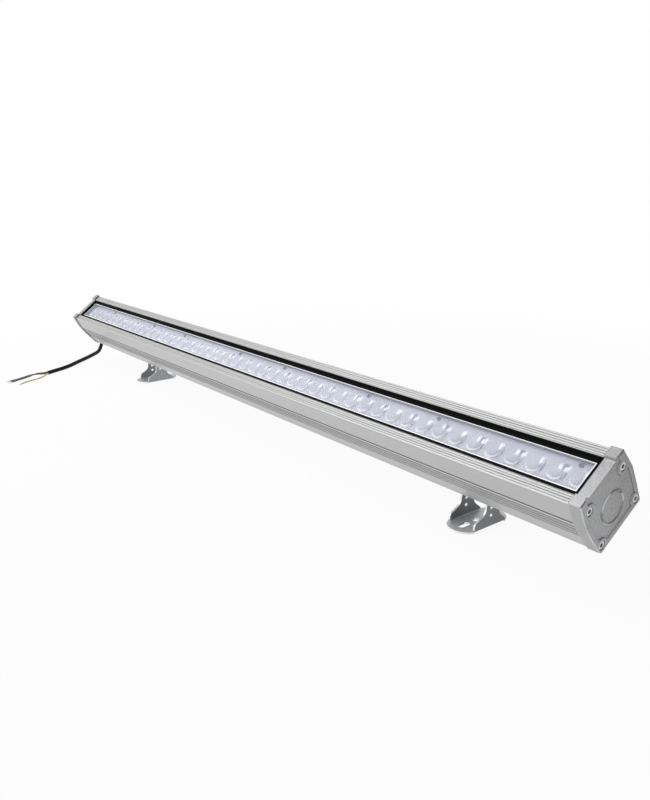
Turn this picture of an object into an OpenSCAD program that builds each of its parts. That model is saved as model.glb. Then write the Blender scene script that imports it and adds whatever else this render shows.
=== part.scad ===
// Linear outdoor wall washer light: a grooved aluminium housing with die-cast end caps, a glass cover
// over a row of ribbed lenses, and two brackets that tilt and slide in a slot along the back.
// X runs along the lamp, Y to the back and Z up. The brackets stand on Z = 0.

/* [Lamp] */
// Overall length over both end caps
lamp_len = 1000; // [700:10:1300]
// Width across the two shoulders beside the window
shoulder_w = 56.6; // [54:0.2:62]
// Width across the belly
belly_w = 63.4; // [60:0.2:68]
// Width where the straight lower side starts
low_w = 60.4; // [59:0.2:66]
// Width across the back face
back_w = 55.8; // [54:0.2:60]
// Depth from the shoulders to the belly
belly_d = 21; // [19:0.5:24]
// Depth from the shoulders to the lower side
low_d = 40.5; // [38:0.5:43]
// Depth from the shoulders to the back face
body_d = 58; // [56:0.5:66]
// Wall thickness of the housing
wall = 2.2; // [1.8:0.1:2.6]
// Angle between the window and level ground
tilt = 36; // [0:1:60]

/* [Window] */
// Width of the pocket between the shoulders
pocket_w = 36.8; // [36:0.2:38]
// Bevel along the pocket's two edges
pocket_bevel = 0.9; // [0.2:0.1:1]
// Depth of the ledge that carries the glass
ledge_d = 8; // [7:0.1:9]
// Width between the two lips under the glass
lips_w = 27.6; // [27:0.2:29]
// Thickness of the lips
lips_t = 1.7; // [1:0.1:2]
// Width of the light chamber under the lips
chamber_w = 35; // [34:0.2:35.4]
// Depth of the platform that carries the boards
platform_d = 17.6; // [16.8:0.1:19]
// Thickness of the platform
platform_t = 2.8; // [2:0.1:3.4]
// Thickness of the glass
glass_t = 4; // [3:0.5:5]
// Width of the black seal between the glass and the pocket's wall
seal_w = 3.8; // [2.8:0.1:4]
// Width of the ground edge round the glass
glass_edge = 0.7; // [0.3:0.1:1]

/* [Grooves] */
// Number of grooves along each side
side_grooves = 5; // [0:1:6]
// Distance between the side grooves
side_groove_pitch = 4.3; // [3:0.1:4.4]
// Width of a side groove
side_groove_w = 1.7; // [0.8:0.1:2.4]
// Depth of a side groove
side_groove_depth = 1.1; // [0.4:0.1:1.4]
// Number of grooves along each shoulder
top_grooves = 4; // [0:1:4]
// Distance between the shoulder grooves
top_groove_pitch = 2.2; // [1.6:0.1:2.2]
// Width of a shoulder groove
top_groove_w = 0.8; // [0.4:0.1:1.2]
// Depth of a shoulder groove
top_groove_depth = 0.6; // [0.3:0.1:1]

/* [End caps] */
// Thickness of an end cap
cap_t = 10.5; // [9.5:0.5:14]
// How far a cap stands proud of the housing's sides
cap_side = 0.7; // [0.3:0.1:1.5]
// How far a cap stands proud of the back face
cap_back = 1; // [0.4:0.1:1.8]
// How far a cap's corner blocks stand proud of the shoulders
cap_top = 2.2; // [1.4:0.1:3]
// Drop from the corner blocks to the middle of the cap
cap_step = 2.6; // [1:0.1:2.8]
// Width of the rim round the sunk panel
rim_w = 4.2; // [2:0.2:5]
// Depth of the sunk panel
panel_depth = 0.9; // [0.4:0.1:1.4]
// Outer radius of the raised ring
ring_r = 14.8; // [13:0.2:15.4]
// Width of the raised ring
ring_w = 2.2; // [1:0.1:3]
// Rounding of the cap's outer edge
edge_r = 1.4; // [0.4:0.1:2.2]
// Thickness of the gasket behind a cap
gasket_t = 0.8; // [0.4:0.1:1.5]

/* [Cap screws] */
// Distance between the front screws
front_screw_w = 45; // [43:0.5:48]
// Depth of the front screws below the shoulders
front_screw_d = 10.7; // [9.5:0.1:12]
// Distance between the back screws
back_screw_w = 48.2; // [45:0.2:50]
// Distance of the back screws from the back face
back_screw_in = 5; // [4.4:0.1:6]
// Thread diameter of a cap screw
cap_screw_dia = 4; // [3:0.5:4]
// Thread length of a cap screw
cap_screw_len = 18; // [14:1:30]
// Radius of the round boss at each screw
boss_r = 6.3; // [5.4:0.1:7]

/* [Optics] */
// Distance between the lenses
lens_pitch = 20.3; // [18.5:0.1:30]
// Diameter of a lens
lens_dia = 18; // [14:0.5:19]
// Height of a lens above its strip
lens_rise = 1.6; // [0.8:0.1:2]
// Height of the strip's top above its board
strip_rise = 5.8; // [4.6:0.1:5.9]
// Thickness of the strip
strip_t = 1.8; // [1.2:0.1:2.4]
// Distance between the ribs across a lens
rib_pitch = 2; // [1.4:0.1:3]
// Thickness of a light board
board_t = 1.6; // [1:0.1:2]
// Side of a light chip
chip_w = 3.5; // [2.5:0.1:5]
// Height of a light chip
chip_h = 1.4; // [0.8:0.1:2]
// Thread diameter of the screws through the strips
strip_screw_dia = 2.5; // [2:0.1:2.8]

/* [Driver] */
// Length of the driver case
driver_len = 260; // [150:5:300]
// Width of the driver case
driver_w = 38; // [24:1:40]
// Free height under the driver case
driver_room = 4.6; // [0.6:0.2:12]

/* [Brackets] */
// Distance of the right bracket from the right end
right_in = 142; // [40:1:330]
// Distance of the left bracket from the left end
left_in = 182; // [40:1:330]
// Height of the tilting axis above the ground
pivot_h = 43; // [40:1:60]
// Distance of the tilting axis from the back face
pivot_drop = 12; // [11:0.5:16]
// Thickness of the bracket's plate
plate_t = 2; // [1.5:0.1:3]
// Width over both ears
bracket_w = 32; // [30:0.5:44]
// Length of the folded part of the base
fold_len = 43; // [38:1:56]
// Length of the base with its round ends
base_len = 67; // [62:1:80]
// How far the middle of the base lies in front of the tilting axis
base_shift = 2; // [0:0.1:3]
// Height of the ear's upright front foot
foot_h = 8.2; // [6:0.2:10]
// Height of the ear's upright back foot
back_foot_h = 4; // [3:0.2:8]
// Radius of the ear's top
ear_r = 8.5; // [7.5:0.1:9.5]
// Width of the slots in the base
slot_w = 7; // [5:0.5:8]
// Length of the slots in the base
slot_len = 14; // [9:0.5:16]
// Distance between the slots
slot_gap = 36; // [34:0.5:40]
// Diameter of the middle hole in the base
access_dia = 8; // [6:0.5:9]
// Diameter of the two small holes in each ear
ear_hole_dia = 3.6; // [2:0.2:4.4]
// Height of the lower small hole
ear_hole_h = 12.5; // [11:0.5:14]
// Distance between the small holes
ear_hole_step = 7.5; // [6:0.5:9]
// Thread diameter of the pivot bolts
pivot_dia = 5; // [4:0.5:6]
// Thread diameter of the clamp screws
clamp_dia = 5; // [4:0.5:5]

/* [Back slot] */
// Width of the slot's mouth
mouth_w = 6.6; // [6:0.2:8]
// Width of the slot behind its lips
slot_room_w = 13.2; // [12:0.2:15]
// Depth of the slot behind its lips
slot_room_d = 4.6; // [4:0.1:6]
// Length of the sliding nut
nut_len = 24; // [16:1:27]

/* [Cable] */
// Diameter of the cable's sheath
cable_dia = 6.4; // [5.4:0.1:7.4]
// Diameter of one core
core_dia = 2.2; // [1.6:0.1:2.3]
// Thread diameter of the cable gland
gland_dia = 16; // [14:1:20]
// Length of the gland's dome nut
dome_len = 18; // [12:1:26]
// Length of the gland's flange
flange_len = 5; // [3:0.5:8]

/* [Hidden] */
$fn = 48;
// Clearances between pieces, and the overrun of every cut
slack = 0.05;
fit = 0.1;
gap = 0.2;
over = 1;
tiny = 0.01;
// Steps in the rounding of a corner
corner_steps = 5;

// Housing
shoulder_r = 0.8;
belly_r = 95;
low_r = 80;
back_r = 1.6;
port_wall = 1.75;
house_len = lamp_len - 2 * (cap_t + gasket_t);
shoulder_half = shoulder_w / 2;
pocket_half = pocket_w / 2;
chamber_half = chamber_w / 2;
cavity_top = platform_d + platform_t;
groove_floor_share = 0.5;
side_groove_from = belly_d;
top_groove_from = pocket_half + 0.55 * top_groove_pitch;

// Back slot
lip_t = wall;
slot_wall = 2.2;
slot_block_half = slot_room_w / 2 + slot_wall;
slot_block_d = lip_t + slot_room_d + slot_wall;

// End caps
cap_in = lamp_len / 2 - cap_t;
notch_lean_share = 0.35;
notch_half = pocket_half + gap;
notch_low_half = notch_half - notch_lean_share * cap_step;
cap_pocket_d = 5;
pocket_floor = cap_in + cap_pocket_d;
panel_face = lamp_len / 2 - panel_depth;
ring_lift = 0.7;
ring_d = (cavity_top + body_d - slot_block_d) / 2 - ring_lift;
ring_share = 0.8;
ring_slope_share = 0.3;
gasket_in = 0.4;

// Cap screws
screw_head_r = 0.875 * cap_screw_dia;
screw_head_h = cap_screw_dia;
screw_sink = 0.5;
hex_share = 0.56;

// Glass, seal, optics
bed_t = 0.5;
glass_top = -ledge_d + bed_t + glass_t;
seal_top = pocket_bevel + tiny;
seal_shoulder_share = 0.3;
lips_half = lips_w / 2;
strip_count = 4;
strip_lenses = floor(2 * cap_in / strip_count / lens_pitch);
strip_rail = 1;
strip_len = strip_lenses * lens_pitch - gap;
strip_half_w = chamber_half - 2 * gap;
board_top = -platform_d + board_t;
strip_top = board_top + strip_rise;
lens_foot_r = 0.45 * lens_dia / 2;
chip_room_r = 0.95 * chip_w;
strip_screw_places = [-round(strip_lenses / 6) * lens_pitch, (strip_lenses / 2 - 0.75) * lens_pitch];
strip_head_r = 0.8 * strip_screw_dia;
strip_head_h = 0.5 * strip_screw_dia;
strip_screw_off = lips_half - strip_head_r - gap;

// Driver and wires
driver_x = -0.14 * lamp_len;
driver_top = -cavity_top - slack;
driver_h = body_d - cavity_top - slot_block_d - slack - driver_room;
driver_end_share = 0.8;
tail_in = 10;
lead_r = core_dia / 2;
lead_gap = 1.25 * core_dia;
lead_hole_r = 2 * core_dia;

// Brackets, with the tilting axis at pivot_y, pivot_h
right_x = lamp_len / 2 - right_in;
left_x = left_in - lamp_len / 2;
bend_r = 3;
saddle_half = bracket_w / 2 - plate_t - fit;
saddle_r = ear_r - 1;
pivot_depth = 8.3;
washer_t = 1;
washer_r = pivot_dia;
hex_r = 0.92 * pivot_dia;
hex_h = 0.7 * pivot_dia;
clamp_head_r = 0.85 * clamp_dia;
clamp_head_h = clamp_dia;
clamp_sink = 5.2;
nut_t = slot_room_d - 2 * gap;
slope_share = 0.47;
base_front = base_len / 2 + base_shift;
base_back = base_len / 2 - base_shift;

// The lamp's outline, corner by corner, for a cap or for the housing itself
function outline_half(side, top, back) = [
    [shoulder_half + side, top],
    [belly_w / 2 + side, -belly_d],
    [low_w / 2 + side, -low_d],
    [back_w / 2 + side, -body_d - back]];
outline_radii = [shoulder_r, belly_r, low_r, back_r];

// Rounding of a polygon's corners
function unit(v) = v / norm(v);
function turn(c, a, b) = let (raw = atan2(b[1] - c[1], b[0] - c[0]) - atan2(a[1] - c[1], a[0] - c[0]))
    raw > 180 ? raw - 360 : raw < -180 ? raw + 360 : raw;
function arc(c, a, b) = let (start = atan2(a[1] - c[1], a[0] - c[0]), sweep = turn(c, a, b))
    [for (i = [0:corner_steps]) c + norm(a - c) * [cos(start + sweep * i / corner_steps),
        sin(start + sweep * i / corner_steps)]];
function corner(a, p, b, r) = r == 0 ? [p] :
    let (u = unit(a - p), w = unit(b - p), h = acos(u * w) / 2, s = r / tan(h))
    arc(p + unit(u + w) * r / sin(h), p + u * s, p + w * s);
function soften(p, r) = let (n = len(p)) [for (i = [0:n - 1])
    each corner(p[(i + n - 1) % n], p[i], p[(i + 1) % n], r[i])];
function reversed(p) = [for (i = [len(p) - 1:-1:0]) p[i]];
function mirrored(p) = [for (q = reversed(p)) [-q[0], q[1]]];
function both(p) = concat(p, mirrored(p));
function both_radii(r) = concat(r, reversed(r));
function body_points(side, top, back) =
    soften(both(outline_half(side, top, back)), both_radii(outline_radii));
side_table = [for (p = body_points(0, 0, 0)) if (p[0] > 0) [-p[1], p[0]]];
function side_half(d) = lookup(d, side_table);

// Where the lamp stands: the tilting axis is set so that the object is centred over the origin
function lamp_y(p) = cos(tilt) * p[0] - sin(tilt) * (p[1] + body_d + pivot_drop);
lamp_reach = [for (p = body_points(cap_side, cap_top, cap_back)) lamp_y(p)];
front_reach = min(concat(lamp_reach, [-base_front]));
back_reach = max(concat(lamp_reach, [base_back]));
pivot_y = -(front_reach + back_reach) / 2;

// Cable: the route's points lie along its centre line, with the floor at zero
cable_route = [[-522.2, -4.1, 72.1], [-530, -4.1, 72.1], [-537.5, -3.5, 71.7], [-544.5, -0.5, 70],
    [-550.5, 5, 67], [-555.5, 11.5, 63], [-560.5, 18, 57.5], [-565, 23.5, 51], [-569, 27.5, 44.5],
    [-571.5, 29.5, 37], [-573, 29.5, 29], [-572.5, 28, 21], [-570.5, 24.5, 14], [-566.5, 20, 8.5],
    [-561.5, 14.5, 4.7], [-555.5, 8, 3.4], [-546, -2, 3.3], [-536.5, -12, 3.3], [-527, -22.5, 3.3],
    [-516.5, -35, 3.3], [-506, -47.5, 3.3], [-496.5, -58.5, 3.3], [-488, -68.5, 3.3],
    [-481, -78, 3.4], [-475, -87.5, 3.5], [-469.5, -97.5, 3.7], [-464, -107.5, 3.9],
    [-458.5, -117.5, 4.1]];
blue_route = [[-459.4, -118.2, 3.4], [-458.6, -120, 3.4], [-459, -124, 3.4], [-462, -129.5, 3.3],
    [-465.5, -135.5, 3.2], [-466.5, -142, 3.1], [-464.5, -149, 3], [-460, -156.5, 3],
    [-455.5, -165, 3], [-451, -174, 3.1], [-448, -183, 3.2]];
brown_route = [[-458.4, -117.7, 5.4], [-457.5, -119.5, 5.5], [-457.5, -123.5, 5.5], [-459, -129, 5.4],
    [-461, -135, 5.1], [-459.5, -142, 4.6], [-455.5, -149, 4], [-452, -157, 3.5],
    [-448.5, -165.5, 3.2], [-445, -174, 3], [-440.5, -182.5, 3]];
earth_route = [[-457.3, -117.2, 3.4], [-456.4, -119, 3.4], [-454, -121.5, 3.3], [-450, -124.5, 3.2],
    [-445, -128.5, 3.1], [-440, -134, 3], [-435.5, -141, 3], [-432, -149, 3],
    [-429, -157.5, 3], [-424.5, -166, 3.1], [-418.5, -173.5, 3.2]];
// Gland
flange_share = 0.69;
neck_share = 0.44;
locknut_r = 0.64 * gland_dia;
gland_end = panel_face + flange_len + dome_len + 2 * slack;
dome_shares = [[0.62, 0], [0.62, 0.45], [0.56, 0.62], [0.44, 0.88], [0.34, 1]];
tip_len = 7;
tip_share = 0.55;
cable_sides = 12;
core_sides = 8;
sweep_ref = unit([1, 1, 0.3]);

// A round tube swept along a route
function heading(p, i) = unit(p[min(i + 1, len(p) - 1)] - p[max(i - 1, 0)]);
function tube_ring(c, t, r, n) = let (a = unit(cross(t, sweep_ref)), b = cross(t, a))
    [for (k = [0:n - 1]) c + r * (a * cos(360 * k / n) + b * sin(360 * k / n))];
module tube(p, r, n) {
    m = len(p);
    points = [for (i = [0:m - 1]) each tube_ring(p[i], heading(p, i), r, n)];
    sides = [for (i = [0:m - 2], k = [0:n - 1]) let (a = i * n + k, b = i * n + (k + 1) % n)
        each [[a, b, b + n], [a, b + n, a + n]]];
    start = [for (k = [1:n - 2]) [0, k + 1, k]];
    last = (m - 1) * n;
    finish = [for (k = [1:n - 2]) [last, last + k, last + k + 1]];
    polyhedron(points, concat(sides, start, finish));
}

// Placing: the lamp's own frame has its origin on the shoulders, with Z out of the window
module lamp() {
    translate([0, pivot_y, pivot_h]) rotate([tilt, 0, 0]) translate([0, 0, body_d + pivot_drop])
        children();
}
module along_x(length) rotate([90, 0, 90]) linear_extrude(height = length, center = true) children();
module slab_x(from, to) translate([(from + to) / 2, 0, 0]) along_x(abs(to - from)) children();
module both_sides() {
    children();
    mirror([1, 0]) children();
}
module both_ends() {
    children();
    mirror([1, 0, 0]) children();
}
module at_end(s) {
    if (s > 0) children();
    else mirror([1, 0, 0]) children();
}
module band(half, low, high) translate([-half, low]) square([2 * half, high - low]);
module round_x(r, from, to) translate([from, 0, 0]) rotate([0, 90, 0]) cylinder(r = r, h = to - from);
module hex_x(r, from, to) translate([from, 0, 0]) rotate([0, 90, 0]) cylinder(r = r, h = to - from, $fn = 6);
module at_cap_screws() for (s = [-1, 1]) {
    translate([0, s * front_screw_w / 2, -front_screw_d]) children();
    translate([0, s * back_screw_w / 2, -body_d + back_screw_in]) children();
}
module cap_screw_circles(r) {
    for (s = [-1, 1], p = [[front_screw_w / 2, -front_screw_d],
        [back_screw_w / 2, -body_d + back_screw_in]]) translate([s * p[0], p[1]]) circle(r = r);
}

// Housing: one extruded profile
module groove(w, d) polygon([[-w / 2, over], [-w / 2, 0], [-groove_floor_share * w / 2, -d],
    [groove_floor_share * w / 2, -d], [w / 2, 0], [w / 2, over]]);
module side_groove_cuts() both_sides() for (i = [0:1:side_grooves - 1]) {
    d = side_groove_from + i * side_groove_pitch;
    step = side_groove_w / 2;
    lean = atan2(side_half(d + step) - side_half(d - step), 2 * step);
    translate([side_half(d), -d]) rotate(-90 - lean) groove(side_groove_w, side_groove_depth);
}
module top_groove_cuts() both_sides() for (i = [0:1:top_grooves - 1])
    translate([top_groove_from + i * top_groove_pitch, 0]) groove(top_groove_w, top_groove_depth);
module lower_cavity() {
    polygon(both([[side_half(cavity_top) - wall, -cavity_top], [side_half(low_d) - wall, -low_d],
        [side_half(body_d - wall) - wall, -body_d + wall],
        [slot_block_half, -body_d + wall], [slot_block_half, -body_d + slot_block_d]]));
}
module shoulder_cavity() both_sides() polygon([[pocket_half + wall, -wall],
    [side_half(wall) - wall, -wall], [side_half(platform_d) - wall, -platform_d],
    [chamber_half + wall, -platform_d], [chamber_half + wall, -ledge_d - wall],
    [pocket_half + wall, -ledge_d - wall]]);
module housing_profile() {
    difference() {
        polygon(body_points(0, 0, 0));
        band(pocket_half, -ledge_d, over);
        polygon(both([[pocket_half - tiny, over], [pocket_half + pocket_bevel + over, over],
            [pocket_half - tiny, -pocket_bevel - tiny]]));
        band(lips_half, -ledge_d - lips_t - over, over - ledge_d);
        band(chamber_half, -platform_d, -ledge_d - lips_t);
        difference() {
            union() {
                lower_cavity();
                shoulder_cavity();
            }
            cap_screw_circles(cap_screw_dia / 2 + port_wall);
        }
        cap_screw_circles(cap_screw_dia / 2 + slack);
        band(mouth_w / 2, -body_d - over, -body_d + lip_t + over);
        band(slot_room_w / 2, -body_d + lip_t, -body_d + lip_t + slot_room_d);
        side_groove_cuts();
        top_groove_cuts();
    }
}
module housing() color("silver") lamp() difference() {
    along_x(house_len) housing_profile();
    at_strip_screws() translate([0, 0, -cavity_top - over])
        cylinder(r = strip_screw_dia / 2 + slack, h = platform_t + 2 * over);
    translate([driver_x + driver_len / 2 + 3 * lead_hole_r, 0, -cavity_top - over])
        cylinder(r = lead_hole_r, h = platform_t + 2 * over);
}

// End caps: a block that follows the housing, with corner blocks, a sunk panel and a raised ring
module cap_shape() {
    difference() {
        union() {
            polygon(body_points(cap_side, cap_top, cap_back));
            both_sides() translate([back_screw_w / 2, -body_d + back_screw_in]) circle(r = boss_r);
        }
        polygon([[-notch_half - over, cap_top + over], [-notch_low_half, cap_top - cap_step],
            [notch_low_half, cap_top - cap_step], [notch_half + over, cap_top + over]]);
    }
}
module cap_panel() {
    difference() {
        polygon(both([[shoulder_half + cap_side - rim_w, cap_top + over],
            [belly_w / 2 + cap_side - rim_w, -belly_d], [low_w / 2 + cap_side - rim_w, -low_d],
            [back_w / 2 + cap_side - rim_w, -body_d - cap_back + rim_w]]));
        cap_screw_circles(boss_r);
        both_sides() translate([front_screw_w / 2, -front_screw_d])
            square([boss_r + rim_w, front_screw_d + cap_top + over]);
    }
}
module cap_blank() {
    outer = lamp_len / 2;
    difference() {
        intersection() {
            slab_x(cap_in, outer) cap_shape();
            hull() for (k = [0:corner_steps]) {
                a = 90 * k / corner_steps;
                slab_x(cap_in - over, outer - edge_r * (1 - sin(a)))
                    offset(delta = -edge_r * (1 - cos(a))) polygon(both(concat(
                        outline_half(cap_side + tiny, cap_top + tiny, cap_back + boss_r - back_screw_in))));
            }
        }
        slab_x(outer - panel_depth, outer + over) cap_panel();
        slab_x(cap_in - over, pocket_floor) difference() {
            lower_cavity();
            cap_screw_circles(boss_r);
        }
        at_cap_screws() {
            round_x(cap_screw_dia / 2 + gap, cap_in - over, outer + over);
            round_x(screw_head_r + screw_sink, outer - screw_head_h - screw_sink, outer + over);
        }
    }
}
module cap_ring() translate([panel_face, 0, -ring_d]) rotate([0, 90, 0]) rotate_extrude() {
    rise = ring_share * panel_depth;
    slope = ring_slope_share * ring_w;
    polygon([[ring_r - ring_w, -tiny], [ring_r, -tiny],
        [ring_r - slope, rise], [ring_r - ring_w + slope, rise]]);
}
module end_cap_right() color("darkgray") lamp() {
    cap_blank();
    cap_ring();
}
module end_cap_left() color("darkgray") lamp() difference() {
    mirror([1, 0, 0]) union() {
        cap_blank();
        cap_ring();
    }
    translate([0, 0, -ring_d]) {
        round_x(gland_dia / 2 + slack, -lamp_len / 2 - over, -cap_in + over);
        round_x(locknut_r + gap, -pocket_floor, -cap_in + over);
    }
}
module gasket(s) {
    from = house_len / 2;
    lamp() at_end(s) slab_x(from, from + gasket_t) difference() {
        polygon(body_points(-gasket_in, -gasket_in, -gasket_in));
        band(pocket_half, -ledge_d, over);
        band(lips_half, -platform_d, over - ledge_d);
        difference() {
            lower_cavity();
            cap_screw_circles(cap_screw_dia / 2 + port_wall);
        }
        cap_screw_circles(cap_screw_dia / 2 + gap);
    }
}
module cap_gasket_right() color("dimgray") gasket(1);
module cap_gasket_left() color("dimgray") gasket(-1);
module cap_screws(s) {
    seat = lamp_len / 2 - screw_head_h - screw_sink;
    lamp() at_end(s) at_cap_screws() difference() {
        union() {
            round_x(cap_screw_dia / 2, seat - cap_screw_len, seat + tiny);
            round_x(screw_head_r, seat, seat + screw_head_h);
        }
        hex_x(hex_share * screw_head_r, seat + screw_head_h / 2, seat + screw_head_h + over);
    }
}
module cap_screws_right() color("gainsboro") cap_screws(1);
module cap_screws_left() color("gainsboro") cap_screws(-1);

// Glass and the black seal round it
function edge_points(half) = [[half - glass_edge, glass_top], [half, glass_top - glass_edge],
    [half, glass_top - glass_t]];
module glass_cover() color("lightcyan", 0.4) lamp() intersection() {
    along_x(2 * (cap_in - seal_w)) polygon(both(edge_points(pocket_half - seal_w)));
    rotate(90) along_x(pocket_w) polygon(both(edge_points(cap_in - seal_w)));
}
module seal_profile(wall) {
    glass = wall - seal_w + tiny;
    under = glass_top - glass_t - tiny;
    polygon([[wall - tiny, -seal_top], [wall - seal_shoulder_share * seal_w, glass_top],
        [glass, glass_top - glass_edge], [glass, under], [glass - glass_edge, under],
        [glass - glass_edge, -ledge_d], [wall - tiny, -ledge_d]]);
}
module glass_seal() color("black") lamp() {
    along_x(2 * (cap_in - tiny)) both_sides() seal_profile(pocket_half);
    rotate(90) along_x(pocket_w - 2 * tiny) both_sides() seal_profile(cap_in);
}

// Optics: boards with chips, under strips of ribbed lenses
module at_strips() for (i = [0:1:strip_count - 1])
    translate([(i - (strip_count - 1) / 2) * strip_lenses * lens_pitch, 0, 0]) children();
module at_strip(i) translate([(i - (strip_count - 1) / 2) * strip_lenses * lens_pitch, 0, 0]) children();
module at_lenses() for (k = [0:1:strip_lenses - 1])
    translate([(k - (strip_lenses - 1) / 2) * lens_pitch, 0, 0]) children();
module at_screws_of_strip() for (x = strip_screw_places) translate([x, strip_screw_off, 0]) children();
module at_strip_screws() at_strips() at_screws_of_strip() children();
module rib_row() {
    ribs = floor(lens_dia / rib_pitch / 2);
    top = strip_top + lens_rise;
    polygon(concat([[-lens_dia, strip_top - strip_t], [-lens_dia, top - rib_pitch / 4]],
        [for (k = [-ribs:ribs], q = [[-0.5, -0.25], [-0.2, 0], [0.2, 0]])
            [(k + q[0]) * rib_pitch, top + q[1] * rib_pitch]],
        [[(ribs + 0.5) * rib_pitch, top - rib_pitch / 4], [lens_dia, top - rib_pitch / 4],
            [lens_dia, strip_top - strip_t]]));
}
module lens() {
    intersection() {
        translate([0, 0, strip_top - strip_t]) cylinder(r = lens_dia / 2, h = strip_t + 2 * lens_rise);
        rotate([90, 0, 0]) linear_extrude(height = lens_dia + over, center = true) rib_row();
    }
    difference() {
        translate([0, 0, board_top + gap]) cylinder(r1 = lens_foot_r, r2 = 0.9 * lens_dia / 2,
            h = strip_top - strip_t - board_top - gap + tiny);
        translate([0, 0, board_top]) cylinder(r = chip_room_r, h = chip_h + 3 * gap);
    }
}
module lens_strip(i) color("aliceblue") lamp() at_strip(i) {
    difference() {
        translate([-strip_len / 2, -strip_half_w, strip_top - strip_t])
            cube([strip_len, 2 * strip_half_w, strip_t]);
        at_screws_of_strip() translate([0, 0, strip_top - strip_t - over])
            cylinder(r = strip_screw_dia / 2 + slack, h = strip_t + 2 * over);
    }
    rail_off = strip_half_w - strip_rail / 2;
    for (s = [-1, 1]) translate([-strip_len / 2, s * rail_off - strip_rail / 2, board_top])
        cube([strip_len, strip_rail, strip_top - strip_t - board_top + tiny]);
    at_lenses() lens();
}
module led_board(i) color("white") lamp() at_strip(i) difference() {
    translate([-strip_len / 2, -strip_half_w, -platform_d])
        cube([strip_len, 2 * strip_half_w, board_t]);
    at_screws_of_strip() translate([0, 0, -platform_d - over])
        cylinder(r = strip_screw_dia / 2 + slack, h = board_t + 2 * over);
}
module led_chips(i) color("khaki") lamp() at_strip(i) at_lenses() {
    translate([-chip_w / 2, -chip_w / 2, board_top]) cube([chip_w, chip_w, chip_h / 2]);
    translate([0, 0, board_top + chip_h / 2 - tiny]) cylinder(r = 0.4 * chip_w, h = chip_h / 2);
}
module strip_screws() color("dimgray") lamp() at_strip_screws() {
    translate([0, 0, -cavity_top]) cylinder(r = strip_screw_dia / 2, h = cavity_top + strip_top + tiny);
    difference() {
        translate([0, 0, strip_top]) cylinder(r = strip_head_r, h = strip_head_h);
        for (a = [0, 90]) rotate(a) translate([-0.6 * strip_head_r, -0.15 * strip_head_r,
            strip_top + 0.4 * strip_head_h]) cube([1.2 * strip_head_r, 0.3 * strip_head_r, strip_head_h]);
    }
}

// Driver under the platform, with its screws and leads
module driver_case() color("gray") lamp() difference() {
    translate([driver_x - driver_len / 2, -driver_w / 2, driver_top - driver_h])
        cube([driver_len, driver_w, driver_h]);
    for (s = [-1, 1]) translate([driver_x + s * driver_len / 2, 0, driver_top - driver_h / 2])
        cube([2 * wall, driver_end_share * driver_w, driver_end_share * driver_h], center = true);
}
module supply_leads() lamp() for (k = [-1:1]) color(["royalblue", "saddlebrown", "yellowgreen"][k + 1])
    translate([0, k * lead_gap, -ring_d])
        round_x(lead_r, -cap_in + tail_in, driver_x - driver_len / 2 + wall - gap);
module board_leads() color("firebrick") lamp() {
    hole = driver_x + driver_len / 2 + 3 * lead_hole_r;
    for (s = [-1, 1]) translate([0, s * lead_gap / 2, 0]) {
        translate([0, 0, -ring_d]) round_x(lead_r, driver_x + driver_len / 2 - wall + gap, hole);
        translate([hole, 0, -ring_d]) sphere(r = lead_r);
        translate([hole, 0, -ring_d]) cylinder(r = lead_r, h = ring_d - platform_d - gap);
    }
}

// Cable gland in the left cap, with the part of the cable that it holds
module at_gland() lamp() translate([0, 0, -ring_d]) rotate([0, -90, 0]) children();
module post(r, from, to) translate([0, 0, from]) cylinder(r = r, h = to - from);
module gland_body() color("dimgray") at_gland() difference() {
    union() {
        translate([0, 0, panel_face]) cylinder(r = flange_share * gland_dia, h = flange_len, $fn = 6);
        post(gland_dia / 2, cap_in + gap, panel_face + tiny);
        post(neck_share * gland_dia, panel_face, panel_face + flange_len + dome_len / 2);
    }
    post(cable_dia / 2 + fit, cap_in - over, panel_face + flange_len + dome_len);
}
module gland_nut() color("dimgray") at_gland() rotate_extrude() {
    low = panel_face + flange_len + slack;
    neck = neck_share * gland_dia + slack;
    bore = cable_dia / 2 + fit;
    polygon(concat([[neck, low]], [for (q = dome_shares) [q[0] * gland_dia, low + q[1] * dome_len]],
        [[bore, low + dome_len], [bore, low + 0.85 * dome_len], [neck, low + 0.72 * dome_len]]));
}
module gland_seal() color("black") at_gland() difference() {
    low = panel_face + flange_len + dome_len / 2 + slack;
    translate([0, 0, low])
        cylinder(r1 = neck_share * gland_dia, r2 = cable_dia / 2 + 2 * fit, h = 0.3 * dome_len);
    post(cable_dia / 2 + fit, low - over, low + dome_len);
}
module gland_locknut() color("dimgray") at_gland() difference() {
    translate([0, 0, cap_in + gap]) cylinder(r = locknut_r, h = cap_pocket_d - gap - slack, $fn = 6);
    post(gland_dia / 2 + slack, cap_in - over, pocket_floor + over);
}
module cable_tail() color("black") at_gland()
    post(cable_dia / 2, cap_in - tail_in, gland_end);

// Free cable on the ground
module power_cable() color("black") tube(cable_route, cable_dia / 2, cable_sides);
module core_blue() color("royalblue") tube(blue_route, core_dia / 2, core_sides);
module core_brown() color("saddlebrown") tube(brown_route, core_dia / 2, core_sides);
module core_earth() color("yellowgreen") tube(earth_route, core_dia / 2, core_sides);
module core_tips() color("peru") for (p = [blue_route, brown_route, earth_route]) {
    last = p[len(p) - 1];
    way = heading(p, len(p) - 1);
    tube([last, last + way * tip_len / 2, last + way * tip_len], tip_share * core_dia / 2, core_sides);
}

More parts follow.
